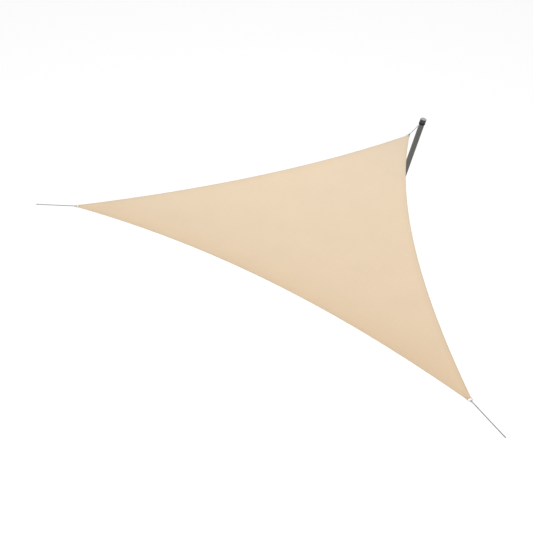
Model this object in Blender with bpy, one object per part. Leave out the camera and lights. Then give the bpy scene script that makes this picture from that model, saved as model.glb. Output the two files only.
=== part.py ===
"""Triangular shade sail, stretched by three short ropes, with the leaning mast that holds one corner.

Metres, +Z up.  The origin is the centre of the mast foot's underside, on the ground.  +X runs to the
right and +Y away from the viewer.  The sail is one hemmed panel with hollow edges; each cut-off corner
is folded round the bar of a D-ring, and a rope is spliced to each ring.
"""

import math

import bmesh
import bpy
from mathutils import Matrix, Vector
from mathutils.geometry import delaunay_2d_cdt

# ---------------------------------------------------------------- where the sail hangs
SAIL_SIDE = 5.0                                  # corner to corner, between the middles of the rings
MAST_CORNER = Vector((0.1155, -0.0815, 2.250))   # the corner tied to the mast
LEFT_CORNER_HEIGHT = 2.634
RIGHT_CORNER_HEIGHT = 2.714
LEFT_CORNER_HEADING = math.radians(205.65)       # seen from the mast corner, anticlockwise from +X

# ---------------------------------------------------------------- the cloth
EDGE_HOLLOWS = {"far": 0.204, "right": 0.247, "near": 0.268}   # how far each edge is cut in
SAIL_SAG = 0.150                                 # how far the middle hangs below the plane
SAG_SHARPNESS = 1.2                              # more puts more of the bend beside the edges
CLOTH_THICKNESS = 0.0014
HEM_THICKNESS = 0.0028
HEM_WIDTH = 0.045
HEM_STEP = 0.003                                 # width of the slope between hem and single cloth
TIP_WIDTH = 0.054                                # each corner is cut off square at this width
EDGE_STEPS = 40
CLOTH_GRID = 0.125

# ---------------------------------------------------------------- the corner rings
RING_WIRE = 0.006
RING_HALF_WIDTH = 0.024                          # all to the middle of the wire
RING_BEND = 0.004
RING_SHOULDER = 0.006
RING_DEPTH = 0.034
BAR_SETBACK = 0.019                              # from the corner back to the ring's bar
POCKET_LENGTH = 0.038
POCKET_WALL = 0.0018

# ---------------------------------------------------------------- the ropes
ROPE = 0.010
ROPE_SAG = 0.001
LEFT_ROPE_END = Vector((-4.8911, -2.2020, 2.6310))    # end of the rope's tail, by the left wall
RIGHT_ROPE_END = Vector((-0.0507, -5.4433, 2.7610))   # the same by the right wall
HITCH_LOOP = 0.0085                              # radius of the loop round a ring's wire
HITCH_LEG = 0.003                                # the loop's legs, each side of the middle
HITCH_THROAT = 0.018                             # ring wire to where the two legs meet
THROAT_RADIUS = 0.008
HITCH_BODY = 0.0065                              # radius of the rope where its tail is buried in it
HITCH_LENGTH = 0.048                             # ring wire to the end of the buried tail

# ---------------------------------------------------------------- the mast
MAST_HEADING = math.radians(25.0)                # the way the mast leans, from +X
MAST_LEAN = math.radians(9.75)
MAST_LENGTH = 2.4225                             # ground to the top of the end plug
MAST_RADIUS = 0.0425
MAST_WALL = 0.003
SLEEVE_RADIUS = 0.047
SLEEVE_LENGTH = 0.084
BAND_RADIUS = 0.0482                             # the thicker band round the sleeve's lower end
BAND_LENGTH = 0.032
PLUG_RADIUS = 0.0455
PLUG_FLANGE = 0.004
PLUG_SPIGOT = 0.025
EYE_DROP = 0.109                                 # top of the mast to the middle of the eye
EYE_REACH = 0.060                                # mast axis to the middle of the eye's bow
EYE_HALF_HEIGHT = 0.016
FOOT_RADIUS = 0.120
FOOT_THICKNESS = 0.012
FOOT_HOLE_RADIUS = 0.007
FOOT_HOLE_CIRCLE = 0.092
FOOT_HOLES = 4

GAP = 0.0003                                     # between neighbouring pieces
ROUND = 32                                       # sides of the mast's round pieces

WORLD_UP = Vector((0.0, 0.0, 1.0))


# ---------------------------------------------------------------- materials and objects
def material(name, colour, roughness, metallic=0.0):
    """A plain finish: linear colour, roughness and metallic value."""
    made = bpy.data.materials.new(name)
    made.use_nodes = True
    shader = made.node_tree.nodes["Principled BSDF"]
    shader.inputs["Base Color"].default_value = (*colour, 1.0)
    shader.inputs["Roughness"].default_value = roughness
    shader.inputs["Metallic"].default_value = metallic
    made.diffuse_color = (*colour, 1.0)
    return made


def place(name, data, finish):
    """Put a mesh or curve in the scene under the piece's name."""
    piece = bpy.data.objects.new(name, data)
    data.materials.append(finish)
    bpy.context.scene.collection.objects.link(piece)
    return piece


def solid(name, bm, finish, crease=40.0):
    """Turn a bmesh into a smooth-shaded piece with outward faces."""
    bmesh.ops.recalc_face_normals(bm, faces=bm.faces)
    mesh = bpy.data.meshes.new(name)
    bm.to_mesh(mesh)
    bm.free()
    mesh.shade_smooth()
    mesh.set_sharp_from_angle(angle=math.radians(crease))
    return place(name, mesh, finish)


def helper(name, bm):
    """A shape that only cuts or adds to another piece."""
    mesh = bpy.data.meshes.new(name)
    bmesh.ops.recalc_face_normals(bm, faces=bm.faces)
    bm.to_mesh(mesh)
    bm.free()
    tool = bpy.data.objects.new(name, mesh)
    bpy.context.scene.collection.objects.link(tool)
    tool.hide_render = True
    tool.display_type = "WIRE"
    return tool


def combine(piece, tool, operation):
    """Add a Boolean that unites a piece with its helper or cuts it by it."""
    change = piece.modifiers.new(tool.name, "BOOLEAN")
    change.operation = operation
    change.solver = "EXACT"
    change.object = tool


def frame_at(origin, along, across):
    """Local frame: z runs along, x as near as it can to across."""
    z_axis = along.normalized()
    x_axis = (across - across.dot(z_axis) * z_axis).normalized()
    y_axis = z_axis.cross(x_axis)
    turn = Matrix((x_axis, y_axis, z_axis)).transposed()
    return Matrix.Translation(origin) @ turn.to_4x4()


def rod(name, points, diameter, finish, cyclic=False, resolution=3):
    """A round rod or rope along a line of points, capped where it isn't a ring."""
    curve = bpy.data.curves.new(name, "CURVE")
    curve.dimensions = "3D"
    curve.bevel_depth = diameter / 2
    curve.bevel_resolution = resolution
    curve.use_fill_caps = not cyclic
    line = curve.splines.new("POLY")
    line.points.add(len(points) - 1)
    for spot, point in zip(line.points, points):
        spot.co = (*point, 1.0)
    line.use_cyclic_u = cyclic
    return place(name, curve, finish)


def add_turned(bm, profile, frame, sides, ring=False):
    """Spin a profile of (radius, height) about the frame's z; ring=True closes it on itself."""
    rows = []
    for radius, height in profile:
        if radius == 0.0:
            rows.append([bm.verts.new(frame @ Vector((0.0, 0.0, height)))])
            continue
        row = []
        for step in range(sides):
            angle = math.tau * step / sides
            spot = Vector((radius * math.cos(angle), radius * math.sin(angle), height))
            row.append(bm.verts.new(frame @ spot))
        rows.append(row)
    pairs = list(zip(rows, rows[1:]))
    if ring:
        pairs.append((rows[-1], rows[0]))
    for low, high in pairs:
        for step in range(sides):
            after = (step + 1) % sides
            if len(low) == 1:
                bm.faces.new((low[0], high[after], high[step]))
            elif len(high) == 1:
                bm.faces.new((low[step], low[after], high[0]))
            else:
                bm.faces.new((low[step], low[after], high[after], high[step]))


def turned(name, profile, frame, finish, sides=ROUND, ring=False, crease=40.0):
    """A turned piece in one step."""
    bm = bmesh.new()
    add_turned(bm, profile, frame, sides, ring)
    return solid(name, bm, finish, crease)


# ---------------------------------------------------------------- the sail's geometry
def hang_corners():
    """The three corners, from the equal sides, the three heights and one heading."""
    left_rise = LEFT_CORNER_HEIGHT - MAST_CORNER.z
    right_rise = RIGHT_CORNER_HEIGHT - MAST_CORNER.z
    left_run = math.sqrt(SAIL_SIDE**2 - left_rise**2)
    right_run = math.sqrt(SAIL_SIDE**2 - right_rise**2)
    spread = math.acos((SAIL_SIDE**2 / 2 - left_rise * right_rise) / (left_run * right_run))
    right_heading = LEFT_CORNER_HEADING + spread
    left = MAST_CORNER + Vector((
        left_run * math.cos(LEFT_CORNER_HEADING),
        left_run * math.sin(LEFT_CORNER_HEADING),
        left_rise,
    ))
    right = MAST_CORNER + Vector((
        right_run * math.cos(right_heading),
        right_run * math.sin(right_heading),
        right_rise,
    ))
    return {"left": left, "mast": MAST_CORNER.copy(), "right": right}


class SailPlane:
    """The flat cut of the sail, and the shape that it takes when it hangs."""

    def __init__(self, corners):
        self.corners = corners
        self.middle = (corners["left"] + corners["mast"] + corners["right"]) / 3
        self.u_axis = (corners["right"] - corners["left"]).normalized()
        normal = self.u_axis.cross(corners["mast"] - corners["left"])
        self.normal = normal.normalized()
        self.v_axis = self.normal.cross(self.u_axis)
        reach = RING_WIRE / 2 + GAP + POCKET_WALL / 2
        self.tips = {name: self.tip(name, reach) for name in corners}
        # each edge: start and end of its chord in the flat, and its hollow; anticlockwise
        self.edges = [
            (self.tips["left"][1], self.tips["right"][0], EDGE_HOLLOWS["near"]),
            (self.tips["right"][1], self.tips["mast"][0], EDGE_HOLLOWS["right"]),
            (self.tips["mast"][1], self.tips["left"][0], EDGE_HOLLOWS["far"]),
        ]
        self.middle_product = self.product(Vector((0.0, 0.0)))

    def flat(self, point):
        """World point to flat coordinates."""
        offset = point - self.middle
        return Vector((offset.dot(self.u_axis), offset.dot(self.v_axis)))

    def outward(self, name):
        """The way the corner is pulled, in the plane."""
        return (self.corners[name] - self.middle).normalized()

    def bar(self, name):
        """The direction of the ring's bar at a corner, anticlockwise round the sail."""
        return self.normal.cross(self.outward(name))

    def bar_middle(self, name):
        """Where the ring's bar sits in the corner's pocket."""
        return self.corners[name] - self.outward(name) * BAR_SETBACK

    def tip(self, name, reach):
        """Both ends of a corner's square cut, anticlockwise, reach inside the bar's middle."""
        cut = self.bar_middle(name) - self.outward(name) * reach
        half = self.bar(name) * (TIP_WIDTH / 2)
        return self.flat(cut - half), self.flat(cut + half)

    def clearance(self, spot):
        """Distance inside each hollow edge, square to that edge's chord."""
        found = []
        for start, end, hollow in self.edges:
            chord = end - start
            along = (spot - start).dot(chord) / chord.length_squared
            inward = Vector((-chord.y, chord.x)).normalized()
            found.append((spot - start).dot(inward) - 4 * hollow * along * (1 - along))
        return found

    def product(self, spot):
        near, right, far = self.clearance(spot)
        return near * right * far

    def sag(self, spot):
        """The dish of the stretched cloth: nothing at the edges, most in the middle."""
        share = max(0.0, self.product(spot) / self.middle_product)
        full = 1 - math.exp(-SAG_SHARPNESS)
        return SAIL_SAG * (1 - math.exp(-SAG_SHARPNESS * share)) / full

    def hung(self, spot, lift):
        """Flat coordinates to the world, on the dished surface, lifted off it."""
        place_flat = self.middle + self.u_axis * spot.x + self.v_axis * spot.y
        return place_flat + self.normal * (lift - self.sag(spot))

    def edge_line(self, number, inset, steps):
        """Points along one edge, or along a line inset from it that stays inside the others."""
        start, end, hollow = self.edges[number]
        chord = end - start
        inward = Vector((-chord.y, chord.x)).normalized()

        def at(share):
            return start + chord * share + inward * (4 * hollow * share * (1 - share) + inset)

        def inside(share):
            others = self.clearance(at(share))
            return min(others[number - 1], others[number - 2]) - inset

        low, high = 0.0, 1.0
        if inset > 0:
            low = self.crossing(inside, 0.0, 0.5)
            high = self.crossing(inside, 1.0, 0.5)
        return [at(low + (high - low) * step / steps) for step in range(steps + 1)]

    @staticmethod
    def crossing(inside, outer, inner):
        """Where the inset line meets its neighbour, by halving."""
        for _ in range(40):
            between = (outer + inner) / 2
            if inside(between) > 0:
                inner = between
            else:
                outer = between
        return inner


def cloth_points(plane):
    """Flat points and the lines that the triangles keep: the outline and both sides of the hem's step."""
    spots = []
    lines = []
    outline = []
    for number in range(3):
        outline += plane.edge_line(number, 0.0, EDGE_STEPS)
    loops = [outline]
    for inset in (HEM_WIDTH, HEM_WIDTH + HEM_STEP):
        loop = []
        for number in range(3):
            loop += plane.edge_line(number, inset, EDGE_STEPS)[:-1]
        loops.append(loop)
    for loop in loops:
        first = len(spots)
        spots += loop
        lines += [(first + k, first + (k + 1) % len(loop)) for k in range(len(loop))]
    room = HEM_WIDTH + HEM_STEP + CLOTH_GRID / 2
    row_height = CLOTH_GRID * math.sqrt(3) / 2
    rows = math.ceil(SAIL_SIDE / row_height)
    columns = math.ceil(SAIL_SIDE / CLOTH_GRID)
    for row in range(-rows, rows + 1):
        shift = (row % 2) / 2
        for column in range(-columns, columns + 1):
            spot = Vector(((column + shift) * CLOTH_GRID, row * row_height))
            if min(plane.clearance(spot)) > room:
                spots.append(spot)
    return spots, lines, len(outline)


def thickness_at(plane, spot):
    """Doubled cloth in the hem, single inside it."""
    inside = min(plane.clearance(spot))
    share = min(1.0, max(0.0, (inside - HEM_WIDTH) / HEM_STEP))
    return HEM_THICKNESS + (CLOTH_THICKNESS - HEM_THICKNESS) * share


def build_sail(plane, finish):
    """The hemmed panel: two faces, a wall round its outline, and a pocket at each corner."""
    spots, lines, outline_count = cloth_points(plane)
    flat_spots, _, triangles, _, _, _ = delaunay_2d_cdt(spots, lines, [], 1, 1e-7)
    bm = bmesh.new()
    upper = []
    lower = []
    for spot in flat_spots:
        half = thickness_at(plane, spot) / 2
        upper.append(bm.verts.new(plane.hung(spot, half)))
        lower.append(bm.verts.new(plane.hung(spot, -half)))
    for corner_numbers in triangles:
        bm.faces.new([upper[k] for k in corner_numbers])
        bm.faces.new([lower[k] for k in reversed(corner_numbers)])
    for k in range(outline_count):
        after = (k + 1) % outline_count
        bm.faces.new((upper[k], lower[k], lower[after], upper[after]))
    sail = solid("sail", bm, finish, crease=50.0)

    pockets = bmesh.new()
    bores = bmesh.new()
    bore_radius = RING_WIRE / 2 + GAP + 0.00005
    pocket_radius = RING_WIRE / 2 + GAP + POCKET_WALL
    for name in plane.corners:
        frame = frame_at(plane.bar_middle(name), plane.bar(name), plane.outward(name))
        half = POCKET_LENGTH / 2
        pocket = [(0.0, -half), (pocket_radius, -half), (pocket_radius, half), (0.0, half)]
        add_turned(pockets, pocket, frame, 16)
        bore = [(0.0, -2 * half), (bore_radius, -2 * half), (bore_radius, 2 * half), (0.0, 2 * half)]
        add_turned(bores, bore, frame, 16)
    combine(sail, helper("pocket_shapes", pockets), "UNION")
    combine(sail, helper("pocket_bores", bores), "DIFFERENCE")
    return sail


# ---------------------------------------------------------------- rings, hitches and ropes
def ring_points(frame):
    """A D-ring's centre line; local x along the bar, local z towards the bow."""
    straight = RING_HALF_WIDTH - RING_BEND
    line = [Vector((straight * (step / 2), 0.0, 0.0)) for step in range(-2, 3)]
    for step in range(1, 5):
        angle = math.radians(-90 + 90 * step / 4)
        line.append(Vector((
            straight + RING_BEND * math.cos(angle),
            0.0,
            RING_BEND + RING_BEND * math.sin(angle),
        )))
    bow_depth = RING_DEPTH - RING_SHOULDER
    for step in range(19):
        angle = math.pi * step / 18
        line.append(Vector((
            RING_HALF_WIDTH * math.cos(angle),
            0.0,
            RING_SHOULDER + bow_depth * math.sin(angle),
        )))
    for step in range(0, 4):
        angle = math.radians(180 + 90 * step / 4)
        line.append(Vector((
            -straight + RING_BEND * math.cos(angle),
            0.0,
            RING_BEND + RING_BEND * math.sin(angle),
        )))
    return [frame @ point for point in line]


def build_ring(name, plane, corner, pull, finish):
    """The ring swings round its bar until its bow follows the rope."""
    bar = plane.bar(corner)
    frame = frame_at(plane.bar_middle(corner), pull - pull.dot(bar) * bar, bar)
    rod(name, ring_points(frame), RING_WIRE, finish, cyclic=True)
    return frame @ Vector((0.0, 0.0, RING_DEPTH))


def build_hitch(name, seat, pull, wire, finish):
    """A rope spliced round a wire: its loop, and the thick part that hides its tail.

    Gives where the straight rope starts.
    """
    frame = frame_at(seat, pull, pull.cross(wire))
    bm = bmesh.new()
    add_turned(bm, [
        (0.0, HITCH_THROAT - 0.004), (THROAT_RADIUS - 0.003, HITCH_THROAT - 0.004),
        (THROAT_RADIUS, HITCH_THROAT), (THROAT_RADIUS, HITCH_THROAT + 0.005),
        (HITCH_BODY, HITCH_THROAT + 0.010), (ROPE / 2, HITCH_LENGTH), (0.0, HITCH_LENGTH),
    ], frame, 14)
    hitch = solid(name, bm, finish)

    line = [
        Vector((HITCH_LEG, 0.0, HITCH_THROAT + 0.004)),
        Vector((HITCH_LEG + 0.002, 0.0, HITCH_THROAT - 0.003)),
    ]
    for step in range(13):
        angle = math.radians(70 + (290 - 70) * step / 12)
        line.append(Vector((HITCH_LOOP * math.sin(angle), 0.0, HITCH_LOOP * math.cos(angle))))
    line += [
        Vector((-HITCH_LEG - 0.002, 0.0, HITCH_THROAT - 0.003)),
        Vector((-HITCH_LEG, 0.0, HITCH_THROAT + 0.004)),
    ]
    loop = rod(name + "_loop", [frame @ point for point in line], ROPE, finish)
    loop.data.bevel_resolution = 2
    loop_mesh = bpy.data.meshes.new_from_object(loop.evaluated_get(bpy.context.evaluated_depsgraph_get()))
    bpy.data.objects.remove(loop)
    loop_bm = bmesh.new()
    loop_bm.from_mesh(loop_mesh)
    bmesh.ops.remove_doubles(loop_bm, verts=loop_bm.verts, dist=1e-6)
    combine(hitch, helper(name + "_loop", loop_bm), "UNION")
    return frame @ Vector((0.0, 0.0, HITCH_LENGTH + GAP))


def build_rope(name, start, end, finish):
    """A taut rope with its slight sag, as a smooth curve through its two ends and its middle."""
    count = math.ceil((end - start).length / (ROPE * 3)) + 1
    points = []
    for step in range(count):
        share = step / (count - 1)
        drop = 4 * ROPE_SAG * share * (1 - share)
        points.append(start.lerp(end, share) - WORLD_UP * drop)
    rod(name, points, ROPE, finish, resolution=2)


# ---------------------------------------------------------------- the mast
def mast_axes():
    """The mast's axis, and the way its eye faces: square to the axis, away from the lean."""
    lean_way = Vector((math.cos(MAST_HEADING), math.sin(MAST_HEADING), 0.0))
    axis = lean_way * math.sin(MAST_LEAN) + WORLD_UP * math.cos(MAST_LEAN)
    eye_way = WORLD_UP * math.sin(MAST_LEAN) - lean_way * math.cos(MAST_LEAN)
    return axis, eye_way


def build_tube(axis, eye_way, finish):
    """The mast's tube: its foot is cut level to stand on the plate, its top square."""
    frame = frame_at(Vector((0.0, 0.0, 0.0)), axis, eye_way)
    top = MAST_LENGTH - PLUG_FLANGE - GAP
    floor = FOOT_THICKNESS + GAP
    bm = bmesh.new()
    rows = []
    for radius, at_top in ((MAST_RADIUS, False), (MAST_RADIUS, True),
                           (MAST_RADIUS - MAST_WALL, True), (MAST_RADIUS - MAST_WALL, False)):
        row = []
        for step in range(ROUND):
            angle = math.tau * step / ROUND
            spot = frame @ Vector((radius * math.cos(angle), radius * math.sin(angle), top))
            if not at_top:
                spot = spot - axis * ((spot.z - floor) / axis.z)
            row.append(bm.verts.new(spot))
        rows.append(row)
    for low, high in zip(rows, rows[1:] + rows[:1]):
        for step in range(ROUND):
            after = (step + 1) % ROUND
            bm.faces.new((low[step], low[after], high[after], high[step]))
    solid("mast_tube", bm, finish)


def build_mast(tube_finish, sleeve_finish, plug_finish, steel_finish):
    """Tube, dark sleeve with its lower band, end plug, welded eye and foot plate; gives the eye's bow and its wire's way."""
    axis, eye_way = mast_axes()
    build_tube(axis, eye_way, tube_finish)
    top_frame = frame_at(axis * MAST_LENGTH, axis, eye_way)

    bore = MAST_RADIUS + GAP
    high = -PLUG_FLANGE - GAP
    low = high - SLEEVE_LENGTH
    chamfer = 0.0015
    turned("mast_sleeve", [
        (bore, low), (BAND_RADIUS - chamfer, low), (BAND_RADIUS, low + chamfer),
        (BAND_RADIUS, low + BAND_LENGTH), (SLEEVE_RADIUS, low + BAND_LENGTH + 0.001),
        (SLEEVE_RADIUS, high - chamfer), (SLEEVE_RADIUS - chamfer, high), (bore, high),
    ], top_frame, sleeve_finish, ring=True)

    spigot = MAST_RADIUS - MAST_WALL - GAP
    turned("mast_plug", [
        (0.0, -PLUG_FLANGE - PLUG_SPIGOT), (spigot, -PLUG_FLANGE - PLUG_SPIGOT), (spigot, -PLUG_FLANGE),
        (PLUG_RADIUS, -PLUG_FLANGE), (PLUG_RADIUS, -chamfer), (PLUG_RADIUS - chamfer, 0.0), (0.0, 0.0),
    ], top_frame, plug_finish)

    eye_frame = frame_at(axis * (MAST_LENGTH - EYE_DROP), eye_way, axis)
    root = MAST_RADIUS + GAP
    bow = EYE_REACH - EYE_HALF_HEIGHT
    line = [Vector((EYE_HALF_HEIGHT, 0.0, root)), Vector((EYE_HALF_HEIGHT, 0.0, (root + bow) / 2))]
    for step in range(17):
        angle = math.pi * step / 16
        line.append(Vector((
            EYE_HALF_HEIGHT * math.cos(angle), 0.0, bow + EYE_HALF_HEIGHT * math.sin(angle))))
    line += [Vector((-EYE_HALF_HEIGHT, 0.0, (root + bow) / 2)), Vector((-EYE_HALF_HEIGHT, 0.0, root))]
    rod("mast_eye", [eye_frame @ point for point in line], RING_WIRE, steel_finish)

    plate_frame = Matrix.Identity(4)
    chamfer = 0.001
    foot = turned("mast_foot", [
        (0.0, 0.0), (FOOT_RADIUS, 0.0), (FOOT_RADIUS, FOOT_THICKNESS - chamfer),
        (FOOT_RADIUS - chamfer, FOOT_THICKNESS), (0.0, FOOT_THICKNESS),
    ], plate_frame, tube_finish, sides=48)
    holes = bmesh.new()
    for number in range(FOOT_HOLES):
        turn = math.tau * (number + 0.5) / FOOT_HOLES
        spot = Vector((FOOT_HOLE_CIRCLE * math.cos(turn), FOOT_HOLE_CIRCLE * math.sin(turn), 0.0))
        past = FOOT_THICKNESS / 2
        add_turned(holes, [
            (0.0, -past), (FOOT_HOLE_RADIUS, -past),
            (FOOT_HOLE_RADIUS, FOOT_THICKNESS + past), (0.0, FOOT_THICKNESS + past),
        ], Matrix.Translation(spot), 16)
    combine(foot, helper("foot_holes", holes), "DIFFERENCE")
    return eye_frame @ Vector((0.0, 0.0, EYE_REACH)), axis


# ---------------------------------------------------------------- everything together
def main():
    for item in list(bpy.data.objects):
        bpy.data.objects.remove(item, do_unlink=True)

    cloth = material("sand cloth", (0.78, 0.61, 0.43), 0.85)
    steel = material("stainless steel", (0.60, 0.60, 0.61), 0.30, 1.0)
    dark_steel = material("blackened steel", (0.07, 0.07, 0.075), 0.45, 0.8)
    cord = material("grey braided rope", (0.35, 0.35, 0.35), 0.80)
    mast_paint = material("dark grey powder coat", (0.12, 0.12, 0.115), 0.50)
    sleeve_plastic = material("black plastic", (0.03, 0.03, 0.03), 0.50)
    plug_plastic = material("light grey plastic", (0.42, 0.42, 0.42), 0.50)

    corners = hang_corners()
    plane = SailPlane(corners)
    build_sail(plane, cloth)
    eye, eye_wire = build_mast(mast_paint, sleeve_plastic, plug_plastic, steel)

    for side, tail_end in (("left", LEFT_ROPE_END), ("right", RIGHT_ROPE_END)):
        pull = (tail_end - plane.bar_middle(side)).normalized()
        seat = build_ring("ring_" + side, plane, side, pull, steel)
        pull = (tail_end - seat).normalized()
        start = build_hitch("hitch_" + side, seat, pull, plane.bar(side), cord)
        build_rope("rope_" + side, start, tail_end, cord)

    pull = (eye - plane.bar_middle("mast")).normalized()
    seat = build_ring("ring_mast", plane, "mast", pull, dark_steel)
    pull = (eye - seat).normalized()
    start = build_hitch("hitch_mast", seat, pull, plane.bar("mast"), cord)
    end = build_hitch("hitch_eye", eye, -pull, eye_wire, cord)
    build_rope("rope_mast", start, end, cord)


main()
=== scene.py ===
"""Dresses the triangular shade sail: cloth, stitching, ropes, rings and the leaning mast, on a pale floor.

Metres, +Z up, the origin under the middle of the mast's foot.  The sizes of the sail, its rings and its
ropes are the ones that the solids were made from, so each piece lies where its solid is.
"""

import math

import bmesh
import bpy
from bpy.props import FloatProperty, FloatVectorProperty, IntProperty, PointerProperty
from mathutils import Matrix, Vector, noise
from mathutils.geometry import delaunay_2d_cdt


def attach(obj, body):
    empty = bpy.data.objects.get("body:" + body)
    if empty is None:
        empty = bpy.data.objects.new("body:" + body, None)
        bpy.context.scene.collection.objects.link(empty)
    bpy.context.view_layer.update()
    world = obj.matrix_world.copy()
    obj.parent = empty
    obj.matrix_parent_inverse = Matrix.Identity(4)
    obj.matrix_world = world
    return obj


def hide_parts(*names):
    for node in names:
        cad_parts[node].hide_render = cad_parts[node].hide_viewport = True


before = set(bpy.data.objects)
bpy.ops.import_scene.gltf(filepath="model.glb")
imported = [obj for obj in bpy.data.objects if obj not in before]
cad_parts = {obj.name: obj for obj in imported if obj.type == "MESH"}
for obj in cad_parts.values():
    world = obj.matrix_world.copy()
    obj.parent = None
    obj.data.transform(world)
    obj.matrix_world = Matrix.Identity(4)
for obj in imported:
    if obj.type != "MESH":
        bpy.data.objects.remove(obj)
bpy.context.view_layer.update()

bl_info = {
    "name": "Triangular Shade Sail",
    "version": (1, 0, 0),
    "blender": (4, 5, 0),
    "location": "3D View > Sidebar > Shade Sail",
    "description": "Makes the cloth, stitching, ropes, rings and mast finishes of a triangular shade sail",
    "category": "Object",
}

# ---------------------------------------------------------------- sizes shared with the solids
SAIL_SIDE = 5.0                                  # corner to corner; each corner lies inside its ring
MAST_CORNER = Vector((0.1155, -0.0815, 2.250))   # the corner tied to the mast
LEFT_CORNER_HEIGHT = 2.634
RIGHT_CORNER_HEIGHT = 2.714
LEFT_CORNER_HEADING = math.radians(205.65)       # seen from the mast corner, anticlockwise from +X
EDGE_HOLLOWS = {"far": 0.204, "right": 0.247, "near": 0.268}   # how far each edge is cut in
SAIL_SAG = 0.150                                 # depth of the dish in its middle
SAG_SHARPNESS = 1.2                              # the more, the flatter the dish and the steeper its rim
CLOTH_THICKNESS = 0.0014
HEM_THICKNESS = 0.0028
HEM_WIDTH = 0.045
HEM_STEP = 0.003                                 # over this the hem thins to the single cloth
TIP_WIDTH = 0.054                                # each corner is cut square, this wide
RING_WIRE = 0.006
RING_HALF_WIDTH = 0.024                          # a ring's sizes are those of its wire's middle line
RING_BEND = 0.004                                # radius at both ends of the bar
RING_SHOULDER = 0.006                            # from the bar to where the bow starts
RING_DEPTH = 0.034                               # from the bar to the top of the bow
BAR_SETBACK = 0.019                              # from the corner back to the ring's bar
POCKET_LENGTH = 0.038                            # the cloth folded round the bar
POCKET_WALL = 0.0018
ROPE = 0.010                                     # diameter
ROPE_SAG = 0.001
LEFT_ROPE_END = Vector((-4.8911, -2.2020, 2.6310))
RIGHT_ROPE_END = Vector((-0.0507, -5.4433, 2.7610))
HITCH_LOOP = 0.0085                              # radius of the loop round the wire
HITCH_LEG = 0.003                                # from the middle of the throat to each leg of the loop
HITCH_THROAT = 0.018                             # heights run along the rope, from the wire's middle
HITCH_LENGTH = 0.048                             # height where the buried tail ends
THROAT_RADIUS = 0.008
THROAT_TAPER = 0.005                             # the throat swells and thins over this height
HITCH_BODY = 0.0065                              # radius where the buried tail begins
MAST_HEADING = math.radians(25.0)
MAST_LEAN = math.radians(9.75)
MAST_LENGTH = 2.4225
MAST_RADIUS = 0.0425
SLEEVE_RADIUS = 0.047
SLEEVE_LENGTH = 0.084
BAND_RADIUS = 0.0482
BAND_LENGTH = 0.032
PLUG_FLANGE = 0.004
EYE_DROP = 0.109                                 # from the tube's top down to the eye
EYE_REACH = 0.060                                # from the tube's middle out to the eye's bow
EYE_HALF_HEIGHT = 0.016
FOOT_THICKNESS = 0.012
GAP = 0.0003                                     # between pieces that lie against each other
WORLD_UP = Vector((0.0, 0.0, 1.0))

# ---------------------------------------------------------------- fine sizes of the pieces made here
HEM_POINTS = 160                 # along each line of the hem, from corner to corner
FOLD_ROUNDING = 0.0012           # the hem's fold is rounded over this much of its width
FOLD_EDGE = 0.45                 # share of the hem's thickness left at the very edge
FOLD_SHADOW_LINE = 0.008                # width of the thin painted shadow line along the hem's fold
HEM_PAINTED_SHADE = 0.55                  # how deep the hem's painted shade is beside that of its fold line
STITCH_ROWS = (0.006, 0.038)     # rows of lockstitch, from the sail's edge
DENT_DEPTH = 0.00035             # how far a row pulls in each face of the hem
DENT_WIDTH = 0.0012              # how far the dent spreads to either side of its row
DENT_BANK = 0.0015               # from a row to the lines of the mesh on either side of it
STITCH_RADIUS = 0.0005           # real thread is 0.6 mm thick; it is drawn at 1 mm so that the rows show
BOX_NEAR = (0.010, 0.016)        # the boxed cross's edge by the ring: how far in, and half its width
BOX_FAR = (0.050, 0.020)         # it widens towards the sail, as the corner does
BOX_STITCH = 0.005               # its stitch length
NEAR_SHADE_BAND = 0.38                 # the painted shade along the near edge, warmer and deeper, fades away over this
PUCKER_HEIGHT = 0.00055          # the sewn hem puckers a little
PUCKERS = 14.0                   # in a metre of hem
PUCKER_WIDTH = 0.05              # they lie this wide over the hem's inner side
PUCKER_REACH = 0.14              # no pucker lies further in than this
FAN_HEIGHT = 0.0016              # ripples fan out of the corners
FAN_RIPPLES = 17.0               # in a whole turn
FAN_PHASE = 1.7                  # by which each corner's ripples are shifted from the last one's
FAN_START = 0.05                 # distances from the corner
FAN_RISE = 0.15                  # over this the ripples rise
FAN_FADE = 0.45                  # and over this they fade
FAN_REACH = 1.6
CALM_EDGE = 0.02                 # over this, all ripples die away towards the edge
POCKET_LIP = 0.0006
WELD_BULGE = 0.0004              # the ring's butt weld stands this proud of its wire
WELD_REACH = 0.007               # and thins out over this
BRAID_DEPTH = 0.0005
SAG_STEP = 0.02                  # between the points that shape a rope's sag
STRAND_STEP = 0.0009             # between those along its finished line
TWINE = 0.0012                   # thickness of the whipping twine
TWINE_POINTS = 16                # in each of its turns
SPLICE_TURNS = 4                 # turns of twine round a splice's throat
SPLICE_WHIPPING = 0.0035         # from the throat up to its first turn
END_TURNS = 13                   # and round a cut end
END_WHIPPING = 0.022             # from the cut back to its first turn
CUT_END = (0.62, 0.78, 0.90, 0.97)   # the melted end's shares of the rope's radius, from its tip
FOOT_BEAD = 0.0034               # radius of the weld bead round the mast's foot
EYE_BEAD = 0.0016                # and of those round the eye's legs
BEAD_RIPPLE = 0.0006             # depth of the foot bead's ripples
BEAD_PITCH = 0.004               # from one ripple to the next
SOFT_EDGE = 0.0008               # rounding of the sleeve's and the band's edges
GROOVE = 0.0006                  # depth of the band's grooves, and half the width of their floor

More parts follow.
